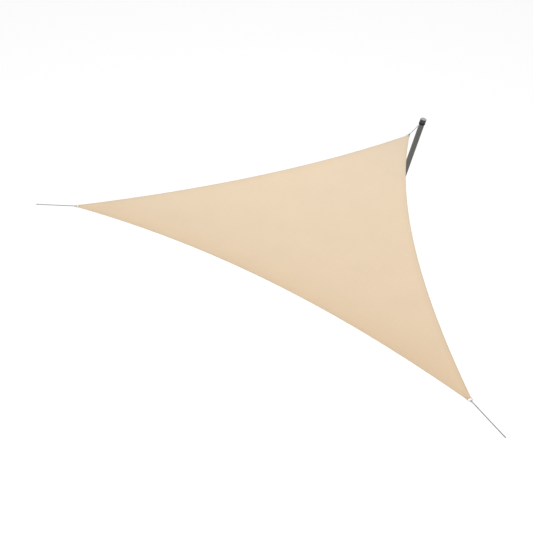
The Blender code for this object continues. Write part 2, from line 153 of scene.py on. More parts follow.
# ---------------------------------------------------------------- places on the stage
FLOOR_HALF = 40.0
FLOOR_HEIGHT = -0.0005           # just under the foot plate
HIGH_LIGHT = Vector((-4.3, -7.3, 26.9))
HIGH_LIGHT_WIDTH = 8.0
NEAR_LIGHT = Vector((-1.1, -0.8, 7.5))
NEAR_LIGHT_WIDTH = 2.0
CAMERA = Vector((-2.0510, -7.9772, 7.3202))
CAMERA_TILT = math.radians(45.0)
SENSOR_WIDTH = 36.0              # millimetres
VIEW_RANGE = 200.0


def linear(code):
    """An sRGB hex colour as linear red, green and blue."""
    parts = [int(code[k:k + 2], 16) / 255 for k in (1, 3, 5)]
    return tuple(c / 12.92 if c <= 0.04045 else ((c + 0.055) / 1.055) ** 2.4 for c in parts)


def colour_setting(name, description, code):
    """A colour that the user can change, with its sRGB hex default."""
    return FloatVectorProperty(name=name, description=description, subtype="COLOR", size=3,
                               min=0.0, max=1.0, default=linear(code))


# ---------------------------------------------------------------- what a user would change
class ClothSettings(bpy.types.PropertyGroup):
    """The woven panel and its stitching."""
    colour: colour_setting("Cloth colour", "Dyed colour of the yarn, at the mast", "#ebd7bc")
    # painted light: the colour painted at the near corner, where less of the cool light falls
    near_lit_colour: colour_setting(
        "Near cloth colour", "Colour of the yarn at the near corner, which fades least", "#edd4b5")
    thread_colour: colour_setting("Thread colour", "Colour of the sewing thread", "#dcc3a2")
    yarn_spacing: FloatProperty(
        name="Yarn spacing", description="Distance between neighbouring yarns, as drawn", unit="LENGTH",
        min=0.0005, default=0.003)
    grid: FloatProperty(
        name="Cloth grid", description="Distance between the points of the cloth's mesh", unit="LENGTH",
        min=0.02, default=0.05)
    stitch_spacing: FloatProperty(
        name="Stitch spacing", description="From one stitch to the next", unit="LENGTH",
        min=0.003, default=0.008)


class RopeSettings(bpy.types.PropertyGroup):
    """The braided rope."""
    colour: colour_setting("Rope colour", "Colour of the braid", "#a6a7a9")
    splice_colour: colour_setting(
        "Splice colour", "Colour of the braid where a tail stretches it open", "#e2e3e5")
    waxed_colour: colour_setting(
        "Waxed splice colour", "Colour of the waxed loop on the mast's dark ring", "#2b2b2d")
    ridges: IntProperty(
        name="Ridges", description="Strands that cross the rope's face each way", min=3, default=8)
    lead: FloatProperty(
        name="Lead", description="Length in which a strand goes once round", unit="LENGTH",
        min=0.005, default=0.032)


class MastSettings(bpy.types.PropertyGroup):
    """The finishes of the mast and the rings."""
    paint: colour_setting("Mast colour", "Powder coat on the tube, its foot and the welds", "#5b5b58")
    sleeve: colour_setting("Sleeve colour", "Moulded sleeve round the mast's top", "#3e3e3e")
    band: colour_setting("Band colour", "Rubber band round the sleeve's lower end", "#161616")
    plug: colour_setting("Plug colour", "Moulded plug in the mast's top", "#b6b6b6")
    steel: colour_setting("Steel colour", "Stainless steel of the mast's eye and two rings", "#c9c9c8")
    dark_steel: colour_setting("Dark steel colour", "Blackened steel of the mast's ring", "#242426")


class StageSettings(bpy.types.PropertyGroup):
    """Floor, light and camera."""
    floor_colour: colour_setting("Floor colour", "Plain pale floor", "#a0a0a0")
    light_colour: colour_setting("Light colour", "Colour of both soft lights", "#ffffff")
    fill_colour: colour_setting("Fill colour", "Colour of the even light all round", "#ffffff")
    fill_strength: FloatProperty(
        name="Fill", description="Brightness of the even light all round", min=0.0, default=0.36)
    high_power: FloatProperty(
        name="High light", description="Power of the soft light far overhead", unit="POWER",
        min=0.0, default=2900.0)
    near_power: FloatProperty(
        name="Near light", description="Power of the soft light above the sail's middle", unit="POWER",
        min=0.0, default=66.0)
    focal_length: FloatProperty(
        name="Focal length", description="Camera lens on a 36 mm sensor", unit="CAMERA",
        min=10.0, default=40.53)


# ---------------------------------------------------------------- small tools
def frame_at(origin, along, across):
    """Local frame: z runs along, x as near as it can to across."""
    z_axis = along.normalized()
    x_axis = (across - across.dot(z_axis) * z_axis).normalized()
    y_axis = z_axis.cross(x_axis)
    turn = Matrix((x_axis, y_axis, z_axis)).transposed()
    return Matrix.Translation(origin) @ turn.to_4x4()


def keep_piece(name, bm, material, node_names=(), crease=60.0):
    """Turn a bmesh into a shown piece that rides on the part and stands for its solids."""
    mesh = bpy.data.meshes.new(name)
    bm.to_mesh(mesh)
    bm.free()
    mesh.shade_smooth()
    mesh.set_sharp_from_angle(angle=math.radians(crease))
    mesh.materials.append(material)
    piece = bpy.data.objects.new(name, mesh)
    bpy.context.scene.collection.objects.link(piece)
    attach(piece, "root")
    if node_names:
        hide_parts(*node_names)
    return piece


def join_rows(bm, rows, closed):
    """Faces between neighbouring rows of points; closed also joins the last row to the first."""
    pairs = list(zip(rows, rows[1:]))
    if closed:
        pairs.append((rows[-1], rows[0]))
    faces = []
    for low, high in pairs:
        for step in range(len(low)):
            after = (step + 1) % len(low)
            faces.append(bm.faces.new((low[step], low[after], high[after], high[step])))
    return faces


def add_turned(bm, profile, at, sides):
    """Spin a closed profile of (radius, height) about the frame's z."""
    rows = []
    for radius, height in profile:
        rows.append([
            bm.verts.new(at @ Vector((
                radius * math.cos(math.tau * step / sides),
                radius * math.sin(math.tau * step / sides),
                height)))
            for step in range(sides)])
    return join_rows(bm, rows, True)


def even_points(line, spacing):
    """Points spread evenly along a line of points, about this far apart."""
    lengths = [0.0]
    for here, there in zip(line, line[1:]):
        lengths.append(lengths[-1] + (there - here).length)
    count = max(2, round(lengths[-1] / spacing))
    marks = []
    k = 0
    for step in range(count + 1):
        goal = lengths[-1] * step / count
        while k < len(line) - 2 and lengths[k + 1] < goal:
            k += 1
        share = (goal - lengths[k]) / (lengths[k + 1] - lengths[k])
        marks.append(line[k].lerp(line[k + 1], min(1.0, share)))
    return marks


def smooth_line(points, spacing):
    """Even points on a smooth curve through the given ones."""
    dense = []
    for k, (start, end) in enumerate(zip(points, points[1:])):
        before = points[k - 1] if k > 0 else start * 2 - end
        after = points[k + 2] if k + 2 < len(points) else end * 2 - start
        for step in range(12):
            t = step / 12
            dense.append((
                start * 2 + (end - before) * t + (before * 2 - start * 5 + end * 4 - after) * t * t
                + (start * 3 - before - end * 3 + after) * t * t * t) / 2)
    dense.append(points[-1].copy())
    return even_points(dense, spacing)


def add_strand(bm, line, radius, sides, relief=None, closed=False):
    """Sweep a round strand along a line; relief(turn, length) is how far its skin lies below the radius."""
    count = len(line)
    sizes = radius if isinstance(radius, list) else [radius] * count
    tangents = []
    for k in range(count):
        if closed:
            tangents.append((line[(k + 1) % count] - line[k - 1]).normalized())
        else:
            tangents.append((line[min(k + 1, count - 1)] - line[max(k - 1, 0)]).normalized())
    across = tangents[0].orthogonal().normalized()
    rows = []
    gone = 0.0
    for k, (spot, tangent) in enumerate(zip(line, tangents)):
        if k:
            across = tangents[k - 1].rotation_difference(tangent) @ across
            gone += (spot - line[k - 1]).length
        across = (across - across.dot(tangent) * tangent).normalized()
        other = tangent.cross(across)
        row = []
        for step in range(sides):
            turned = step / sides
            reach = sizes[k] - (relief(turned, gone) if relief else 0.0)
            angle = math.tau * turned
            row.append(bm.verts.new(spot + (across * math.cos(angle) + other * math.sin(angle)) * reach))
        rows.append(row)
    join_rows(bm, rows, closed)
    if not closed:
        bm.faces.new(list(reversed(rows[0])))
        bm.faces.new(rows[-1])
    return rows


# ---------------------------------------------------------------- the sail's shape
class SailShape:
    """The flat cut of the sail, and the shape that it takes when it hangs."""

    def __init__(self):
        self.corners = self.hang_corners()
        self.middle = sum(self.corners.values(), Vector()) / 3
        self.u_axis = (self.corners["right"] - self.corners["left"]).normalized()
        self.normal = self.u_axis.cross(self.corners["mast"] - self.corners["left"]).normalized()
        self.v_axis = self.normal.cross(self.u_axis)
        tips = {name: self.tip(name, RING_WIRE / 2 + GAP + POCKET_WALL / 2) for name in self.corners}
        # anticlockwise: the near edge, the right one and the far one
        self.edges = []
        for first, second, side in (("left", "right", "near"), ("right", "mast", "right"),
                                    ("mast", "left", "far")):
            start = tips[first][1]
            chord = tips[second][0] - start
            inward = Vector((-chord.y, chord.x)).normalized()
            self.edges.append((start, chord, inward, EDGE_HOLLOWS[side]))
        self.middle_product = math.prod(self.clearance(Vector((0.0, 0.0))))

    @staticmethod
    def hang_corners():
        """The three corners, from the equal sides, the three heights and one heading."""
        left_rise = LEFT_CORNER_HEIGHT - MAST_CORNER.z
        right_rise = RIGHT_CORNER_HEIGHT - MAST_CORNER.z
        left_run = math.sqrt(SAIL_SIDE**2 - left_rise**2)
        right_run = math.sqrt(SAIL_SIDE**2 - right_rise**2)
        spread = math.acos((SAIL_SIDE**2 / 2 - left_rise * right_rise) / (left_run * right_run))
        found = {}
        for name, run, rise, heading in (
                ("left", left_run, left_rise, LEFT_CORNER_HEADING),
                ("mast", 0.0, 0.0, 0.0),
                ("right", right_run, right_rise, LEFT_CORNER_HEADING + spread)):
            found[name] = MAST_CORNER + Vector((run * math.cos(heading), run * math.sin(heading), rise))
        return found

    def flat(self, point):
        """A point's place on the flat cut, whose origin is the sail's middle."""
        offset = point - self.middle
        return Vector((offset.dot(self.u_axis), offset.dot(self.v_axis)))

    def outward(self, name):
        """From the sail's middle towards a corner."""
        return (self.corners[name] - self.middle).normalized()

    def bar(self, name):
        """The direction of the ring's bar at a corner, anticlockwise round the sail."""
        return self.normal.cross(self.outward(name))

    def bar_middle(self, name):
        """The middle of the ring's bar at a corner."""
        return self.corners[name] - self.outward(name) * BAR_SETBACK

    def tip(self, name, reach):
        """Both ends of a corner's square cut, anticlockwise."""
        cut = self.bar_middle(name) - self.outward(name) * reach
        half = self.bar(name) * (TIP_WIDTH / 2)
        return self.flat(cut - half), self.flat(cut + half)

    def clearance(self, spot):
        """Distance inside each hollow edge, square to that edge's chord."""
        found = []
        for start, chord, inward, hollow in self.edges:
            along = (spot - start).dot(chord) / chord.length_squared
            found.append((spot - start).dot(inward) - 4 * hollow * along * (1 - along))
        return found

    def sag(self, spot):
        """The dish of the stretched cloth: nothing at the edges, most in the middle."""
        share = max(0.0, math.prod(self.clearance(spot)) / self.middle_product)
        return SAIL_SAG * (1 - math.exp(-SAG_SHARPNESS * share)) / (1 - math.exp(-SAG_SHARPNESS))

    def hung(self, spot, lift):
        """Flat coordinates to the world, on the dished surface, lifted off it."""
        return (self.middle + self.u_axis * spot.x + self.v_axis * spot.y
                + self.normal * (lift - self.sag(spot)))

    def edge_line(self, number, inset, steps):
        """Points along one edge, or along a line inset from it that stays inside the others."""
        start, chord, inward, hollow = self.edges[number]

        def at(share):
            return start + chord * share + inward * (4 * hollow * share * (1 - share) + inset)

        def inside(share):
            others = self.clearance(at(share))
            return min(others[number - 1], others[number - 2]) - inset

        low, high = 0.0, 1.0
        if inset > 0:
            low = self.crossing(inside, 0.0, 0.5)
            high = self.crossing(inside, 1.0, 0.5)
        return [at(low + (high - low) * step / steps) for step in range(steps + 1)]

    @staticmethod
    def crossing(inside, outer, inner):
        """Where the inset line meets its neighbour, by halving."""
        for _ in range(40):
            between = (outer + inner) / 2
            if inside(between) > 0:
                inner = between
            else:
                outer = between
        return inner


SHAPE = SailShape()


# ---------------------------------------------------------------- where the ropes run
def mast_axes():
    """The mast's axis, and the way its eye faces."""
    lean_way = Vector((math.cos(MAST_HEADING), math.sin(MAST_HEADING), 0.0))
    axis = lean_way * math.sin(MAST_LEAN) + WORLD_UP * math.cos(MAST_LEAN)
    eye_way = WORLD_UP * math.sin(MAST_LEAN) - lean_way * math.cos(MAST_LEAN)
    return axis, eye_way


def ring_frame(corner, aim):
    """A ring swings round its bar until its bow follows the rope; local x along the bar, z to the bow."""
    bar = SHAPE.bar(corner)
    pull = (aim - SHAPE.bar_middle(corner)).normalized()
    return frame_at(SHAPE.bar_middle(corner), pull - pull.dot(bar) * bar, bar)


def rigging():
    """For each corner: the ring's frame, the frames of its splices, and the straight rope's two ends."""
    axis, eye_way = mast_axes()
    eye = axis * (MAST_LENGTH - EYE_DROP) + eye_way * EYE_REACH
    splice_end = Vector((0.0, 0.0, HITCH_LENGTH + GAP))
    found = {}
    for side, aim in (("left", LEFT_ROPE_END), ("right", RIGHT_ROPE_END), ("mast", eye)):
        ring = ring_frame(side, aim)
        seat = ring @ Vector((0.0, 0.0, RING_DEPTH))
        pull = (aim - seat).normalized()
        hitch = frame_at(seat, pull, pull.cross(SHAPE.bar(side)))
        found[side] = {"ring": ring, "hitch": hitch, "start": hitch @ splice_end, "end": aim}
    # the mast's rope ends in a second splice, on the eye, and pulls at it the other way
    eye_hitch = frame_at(eye, -pull, (-pull).cross(axis))
    found["mast"].update({"eye_hitch": eye_hitch, "end": eye_hitch @ splice_end})
    return found


RIG = rigging()


# ---------------------------------------------------------------- finishes
WHITE = (1.0, 1.0, 1.0, 1.0)
WAVE_BANDS = math.tau / 20       # a wave texture's bands lie this far apart at a scale of 1

# sockets of a Mix node by number, because several share one name
NUMBER_A = 2
NUMBER_B = 3
COLOUR_A = 6
COLOUR_B = 7
MIXED_COLOUR = 2


def add_node(tree, kind, feeds=None, gives=0, to=None, **choices):
    """Add a node and return the output that it gives, linked to a socket if one is named.

    feeds holds a number or a socket for each input, choices the node's own settings.
    """
    made = tree.nodes.new(kind)
    for name, value in choices.items():
        setattr(made, name, value)
    for key, value in (feeds or {}).items():
        if isinstance(value, bpy.types.NodeSocket):
            tree.links.new(value, made.inputs[key])
        else:
            made.inputs[key].default_value = value
    if to is not None:
        tree.links.new(made.outputs[gives], to)
    return made.outputs[gives]


def cells(size):
    """The texture scale at which a pattern's cells are this many millimetres across."""
    return 1000.0 / size


def finish(name, colour, roughness, metallic=0.0, ior=1.5):
    """A new material with its own values on the shader's sockets."""
    made = bpy.data.materials.new(name)
    made.use_nodes = True
    shader = made.node_tree.nodes["Principled BSDF"]
    shader.inputs["Base Color"].default_value = (*colour, 1.0)
    shader.inputs["Roughness"].default_value = roughness
    shader.inputs["Metallic"].default_value = metallic
    shader.inputs["IOR"].default_value = ior
    made.diffuse_color = (*colour, 1.0)
    return made, made.node_tree, shader


def shades(colour, darker, lighter):
    """The same colour made darker and lighter, for the ends of a mix."""
    low = tuple(c * (1 - darker) for c in colour)
    high = tuple(min(1.0, c * (1 + lighter)) for c in colour)
    return (*low, 1.0), (*high, 1.0)


def polyester_shade_cloth(settings):
    """Plain-woven, dyed polyester: matt, with a soft bloom off its fibres and slightly uneven yarns."""
    made, tree, shader = finish("polyester_shade_cloth", settings.colour, 0.82, ior=1.53)
    shader.inputs["Sheen Weight"].default_value = 0.12
    shader.inputs["Sheen Roughness"].default_value = 0.45
    shader.inputs["Specular IOR Level"].default_value = 0.30
    flat = add_node(tree, "ShaderNodeUVMap", uv_map="flat_cut")
    # thick and thin yarns make faint streaks along the warp and the weft, in bundles 11 mm wide
    streaks = []
    for stretch in ((cells(333), cells(11.1), 1.0), (cells(11.1), cells(333), 1.0)):
        drawn = add_node(tree, "ShaderNodeMapping", {"Vector": flat, "Scale": stretch})
        streaks.append(add_node(tree, "ShaderNodeTexNoise", {
            "Vector": drawn, "Scale": 1.0, "Detail": 3.0, "Roughness": 0.6}))
    # uneven dye, in clouds
    cloud = add_node(tree, "ShaderNodeTexNoise", {"Vector": flat, "Scale": cells(455), "Detail": 4.0})
    both = add_node(tree, "ShaderNodeMath", {0: streaks[0], 1: streaks[1]}, operation="ADD")
    mixed = add_node(tree, "ShaderNodeMath", {0: both, 1: cloud}, operation="ADD")
    share = add_node(tree, "ShaderNodeMapRange", {"Value": mixed, "From Min": 1.0, "From Max": 2.0})
    # painted light: the light falls cooler on the far side, so the colour is painted from a warm sand at
    # the near corner to a yellower one at the far side
    where = add_node(tree, "ShaderNodeTexCoord", gives="Object")
    reach = add_node(tree, "ShaderNodeSeparateXYZ", {"Vector": where}, gives="Y")
    painted_light_share = add_node(tree, "ShaderNodeMapRange", {
        "Value": reach, "From Min": SHAPE.corners["right"].y, "From Max": SHAPE.corners["mast"].y})
    ends = []
    for near, far in zip(shades(settings.near_lit_colour, 0.035, 0.030), shades(settings.colour, 0.035, 0.030)):
        ends.append(add_node(tree, "ShaderNodeMix", {"Factor": painted_light_share, COLOUR_A: near, COLOUR_B: far},
                             gives=MIXED_COLOUR, data_type="RGBA"))
    tint = add_node(tree, "ShaderNodeMix", {"Factor": share, COLOUR_A: ends[0], COLOUR_B: ends[1]},
                    gives=MIXED_COLOUR, data_type="RGBA")
    # painted shade: the doubled hem lets less light through, so its colour is painted a shade deeper, with
    # a thin painted shadow line along its fold
    hem = add_node(tree, "ShaderNodeAttribute", gives="Fac", attribute_name="hem_painted_shade")
    drawn = add_node(tree, "ShaderNodeMath", {0: hem, 1: 3.0}, operation="POWER")
    hem_shaded = add_node(tree, "ShaderNodeMix", {
        "Factor": drawn, COLOUR_A: tint, COLOUR_B: (*linear("#f3f3f2"), 1.0)},
        gives=MIXED_COLOUR, data_type="RGBA", blend_type="MULTIPLY")
    # painted shade: a warmer, deeper band, some 300 mm wide, along the near edge, where the dish turns the
    # cloth from the light
    band = add_node(tree, "ShaderNodeAttribute", gives="Fac", attribute_name="near_painted_shade")
    add_node(tree, "ShaderNodeMix", {
        "Factor": band, COLOUR_A: hem_shaded, COLOUR_B: (*linear("#fffcf7"), 1.0)},
        gives=MIXED_COLOUR, to=shader.inputs["Base Color"], data_type="RGBA", blend_type="MULTIPLY")
    # real yarns lie 0.8 mm apart, too fine to show; they are drawn about four times as coarse
    waves = []
    for direction in ("X", "Y"):
        waves.append(add_node(tree, "ShaderNodeTexWave", {
            "Vector": flat, "Scale": WAVE_BANDS / settings.yarn_spacing, "Distortion": 0.4, "Detail": 1.0},
            gives="Fac", wave_type="BANDS", bands_direction=direction))
    weave = add_node(tree, "ShaderNodeMath", {0: waves[0], 1: waves[1]}, operation="MAXIMUM")
    add_node(tree, "ShaderNodeBump", {"Height": weave, "Strength": 0.25, "Distance": 0.0004},
             to=shader.inputs["Normal"])
    return made


def polyester_thread(settings):
    """Bonded polyester sewing thread: smoother than the cloth, so it catches a little light."""
    made, tree, shader = finish("polyester_sewing_thread", settings.thread_colour, 0.55, ior=1.53)
    where = add_node(tree, "ShaderNodeTexCoord", gives="Object")
    # the twist of the plies, drawn 2.5 mm long
    spots = add_node(tree, "ShaderNodeTexNoise", {"Vector": where, "Scale": cells(2.5), "Detail": 2.0})
    dark, light = shades(settings.thread_colour, 0.10, 0.06)
    add_node(tree, "ShaderNodeMix", {"Factor": spots, COLOUR_A: dark, COLOUR_B: light},
             gives=MIXED_COLOUR, to=shader.inputs["Base Color"], data_type="RGBA")
    return made


def braided_polypropylene(name, settings, loop_colour, roughness):
    """Braided polypropylene rope: waxy filaments, with painted shade down between the strands.

    A spliced loop has a colour of its own, and the buried tail runs out from it to the plain rope's.
    """
    made, tree, shader = finish(name, settings.colour, roughness, ior=1.49)
    shader.inputs["Sheen Weight"].default_value = 0.15
    where = add_node(tree, "ShaderNodeTexCoord", gives="Object")
    # single filaments, 0.3 mm, are too fine to show; they are drawn in clumps of 1.1 mm
    fibres = add_node(tree, "ShaderNodeTexNoise", {"Vector": where, "Scale": cells(1.1), "Detail": 3.0})
    patches = add_node(tree, "ShaderNodeTexNoise", {"Vector": where, "Scale": cells(17), "Detail": 2.0})
    share = add_node(tree, "ShaderNodeMix", {"Factor": 0.35, NUMBER_A: fibres, NUMBER_B: patches})
    loop = add_node(tree, "ShaderNodeAttribute", gives="Fac", attribute_name="loop_share")
    ends = []
    for plain, spliced in zip(shades(settings.colour, 0.22, 0.16), shades(loop_colour, 0.22, 0.16)):
        ends.append(add_node(tree, "ShaderNodeMix", {"Factor": loop, COLOUR_A: plain, COLOUR_B: spliced},
                             gives=MIXED_COLOUR, data_type="RGBA"))
    tint = add_node(tree, "ShaderNodeMix", {"Factor": share, COLOUR_A: ends[0], COLOUR_B: ends[1]},
                    gives=MIXED_COLOUR, data_type="RGBA")
    # painted shade down in the crevices between the strands
    crevice_shade = add_node(tree, "ShaderNodeAttribute", gives="Fac", attribute_name="crevice_shade")
    add_node(tree, "ShaderNodeMix", {
        "Factor": crevice_shade, COLOUR_A: tint, COLOUR_B: (*linear("#cbcbcd"), 1.0)},
        gives=MIXED_COLOUR, to=shader.inputs["Base Color"], data_type="RGBA", blend_type="MULTIPLY")
    add_node(tree, "ShaderNodeBump", {"Height": fibres, "Strength": 0.3, "Distance": 0.0002},
             to=shader.inputs["Normal"])
    return made


def bent_steel(name, colour, roughness):
    """Bent and welded steel wire, finished smooth: an even satin with the faint marks of its drawing."""
    made, tree, shader = finish(name, colour, roughness, metallic=1.0)
    where = add_node(tree, "ShaderNodeTexCoord", gives="Object")
    # real drawing marks are 0.1 mm apart, too fine to show; they are drawn 2 mm apart
    marks = add_node(tree, "ShaderNodeTexNoise", {"Vector": where, "Scale": cells(2), "Detail": 4.0})
    wear = add_node(tree, "ShaderNodeTexNoise", {"Vector": where, "Scale": cells(14), "Detail": 3.0})
    dark, light = shades(colour, 0.18, 0.12)
    add_node(tree, "ShaderNodeMix", {"Factor": wear, COLOUR_A: dark, COLOUR_B: light},
             gives=MIXED_COLOUR, to=shader.inputs["Base Color"], data_type="RGBA")
    add_node(tree, "ShaderNodeMapRange", {
        "Value": marks, "To Min": roughness - 0.08, "To Max": roughness + 0.12},
        to=shader.inputs["Roughness"])
    add_node(tree, "ShaderNodeBump", {"Height": marks, "Strength": 0.12, "Distance": 0.0002},
             to=shader.inputs["Normal"])
    return made


def powder_coat(settings):
    """Powder-coated metal: satin, with the orange-peel texture of the baked powder and a little dust."""
    made, tree, shader = finish("satin_powder_coat", settings.paint, 0.48)
    shader.inputs["Coat Weight"].default_value = 0.08
    where = add_node(tree, "ShaderNodeTexCoord", gives="Object")
    # real orange peel is as wide as this
    peel = add_node(tree, "ShaderNodeTexNoise", {"Vector": where, "Scale": cells(1.5), "Detail": 1.5})
    dust = add_node(tree, "ShaderNodeTexNoise", {
        "Vector": where, "Scale": cells(111), "Detail": 5.0, "Roughness": 0.65})
    dark, light = shades(settings.paint, 0.10, 0.12)
    add_node(tree, "ShaderNodeMix", {"Factor": dust, COLOUR_A: dark, COLOUR_B: light},
             gives=MIXED_COLOUR, to=shader.inputs["Base Color"], data_type="RGBA")
    add_node(tree, "ShaderNodeMapRange", {"Value": dust, "To Min": 0.40, "To Max": 0.58},
             to=shader.inputs["Roughness"])
    add_node(tree, "ShaderNodeBump", {"Height": peel, "Strength": 0.2, "Distance": 0.0003},
             to=shader.inputs["Normal"])
    return made


def weld_metal(settings):
    """Powder coat over a weld: the same colour, duller where the bead's ripples hold dust."""
    made, tree, shader = finish("coated_weld", settings.paint, 0.55)
    where = add_node(tree, "ShaderNodeTexCoord", gives="Object")
    # spots the size of the bead's ripples
    spots = add_node(tree, "ShaderNodeTexNoise", {"Vector": where, "Scale": cells(3.8), "Detail": 3.0})
    dark, light = shades(settings.paint, 0.22, 0.10)
    add_node(tree, "ShaderNodeMix", {"Factor": spots, COLOUR_A: dark, COLOUR_B: light},
             gives=MIXED_COLOUR, to=shader.inputs["Base Color"], data_type="RGBA")
    add_node(tree, "ShaderNodeBump", {"Height": spots, "Strength": 0.3, "Distance": 0.0004},
             to=shader.inputs["Normal"])
    return made


def moulded_plastic(name, colour, roughness, grain):
    """Moulded plastic or rubber: the spark-eroded grain of its tool breaks up the shine.

    Real pits are 0.2 mm across, too fine to show; grain is the size in millimetres that they are drawn.
    """
    made, tree, shader = finish(name, colour, roughness, ior=1.46)
    where = add_node(tree, "ShaderNodeTexCoord", gives="Object")
    pits = add_node(tree, "ShaderNodeTexNoise", {"Vector": where, "Scale": cells(grain), "Detail": 3.0})
    marks = add_node(tree, "ShaderNodeTexNoise", {"Vector": where, "Scale": cells(40), "Detail": 4.0})
    dark, light = shades(colour, 0.10, 0.10)
    add_node(tree, "ShaderNodeMix", {"Factor": marks, COLOUR_A: dark, COLOUR_B: light},
             gives=MIXED_COLOUR, to=shader.inputs["Base Color"], data_type="RGBA")
    add_node(tree, "ShaderNodeMapRange", {
        "Value": marks, "To Min": roughness - 0.06, "To Max": roughness + 0.10},
        to=shader.inputs["Roughness"])
    add_node(tree, "ShaderNodeBump", {"Height": pits, "Strength": 0.15, "Distance": 0.0002},
             to=shader.inputs["Normal"])
    return made


def studio_floor(settings):
    """Matt painted studio floor: pale and even, with a trace of roller texture."""
    made, tree, shader = finish("matt_studio_floor", settings.floor_colour, 0.9)
    where = add_node(tree, "ShaderNodeTexCoord", gives="Object")
    nap = add_node(tree, "ShaderNodeTexNoise", {"Vector": where, "Scale": cells(333), "Detail": 4.0})
    dark, light = shades(settings.floor_colour, 0.006, 0.006)
    add_node(tree, "ShaderNodeMix", {"Factor": nap, COLOUR_A: dark, COLOUR_B: light},
             gives=MIXED_COLOUR, to=shader.inputs["Base Color"], data_type="RGBA")
    shader.inputs["Emission Color"].default_value = WHITE
    shader.inputs["Emission Strength"].default_value = 0.76
    return made


# ---------------------------------------------------------------- cloth
def hem_lines():
    """Flat points and kept lines of the cloth: outline, rounded fold, stitch dents and the hem's step."""
    insets = [0.0, FOLD_ROUNDING, sum(STITCH_ROWS) / 2, HEM_WIDTH, HEM_WIDTH + HEM_STEP]
    for row in STITCH_ROWS:
        insets += [row - DENT_BANK, row, row + DENT_BANK]
    spots = []
    lines = []
    outline_count = 0
    for inset in sorted(insets):
        loop = []
        for number in range(3):
            row = SHAPE.edge_line(number, inset, HEM_POINTS)
            loop += row if inset == 0.0 else row[:-1]
        if inset == 0.0:
            outline_count = len(loop)
        first = len(spots)
        spots += loop
        lines += [(first + k, first + (k + 1) % len(loop)) for k in range(len(loop))]
    return spots, lines, outline_count


def cloth_profile(inside):
    """Half the cloth's thickness at a distance from the edge, and how deep the painted shade of its hem is
    there.
    """
    if inside < HEM_WIDTH:
        fold = min(1.0, inside / FOLD_ROUNDING)
        half = HEM_THICKNESS / 2 * (FOLD_EDGE + (1 - FOLD_EDGE) * math.sqrt(fold))
        for row in STITCH_ROWS:
            half -= DENT_DEPTH * math.exp(-((inside - row) / DENT_WIDTH) ** 2)
        return half, 1.0 if inside < FOLD_SHADOW_LINE else HEM_PAINTED_SHADE
    share = min(1.0, (inside - HEM_WIDTH) / HEM_STEP)
    return HEM_THICKNESS / 2 + (CLOTH_THICKNESS - HEM_THICKNESS) / 2 * share, HEM_PAINTED_SHADE * (1.0 - share)


def ripple(spot, inside):
    """Small tension ripples: along the sewn hems, and fanning out of the corners."""
    lift = 0.0
    if inside < PUCKER_REACH:
        along = noise.noise(Vector((spot.x * PUCKERS, spot.y * PUCKERS, 0.3)))
        lift += PUCKER_HEIGHT * along * math.exp(-((inside - HEM_WIDTH) / PUCKER_WIDTH) ** 2)
    for number, name in enumerate(SHAPE.corners):
        tip = SHAPE.flat(SHAPE.bar_middle(name))
        away = spot - tip
        distance = away.length
        if FAN_START < distance < FAN_REACH:
            inward = SHAPE.flat(SHAPE.middle) - tip
            angle = inward.angle_signed(away)
            rise = 1 - math.exp(-((distance - FAN_START) / FAN_RISE) ** 2)
            fade = rise * math.exp(-distance / FAN_FADE)
            lift += FAN_HEIGHT * fade * math.cos(angle * FAN_RIPPLES + number * FAN_PHASE)
    return lift * min(1.0, inside / CALM_EDGE)


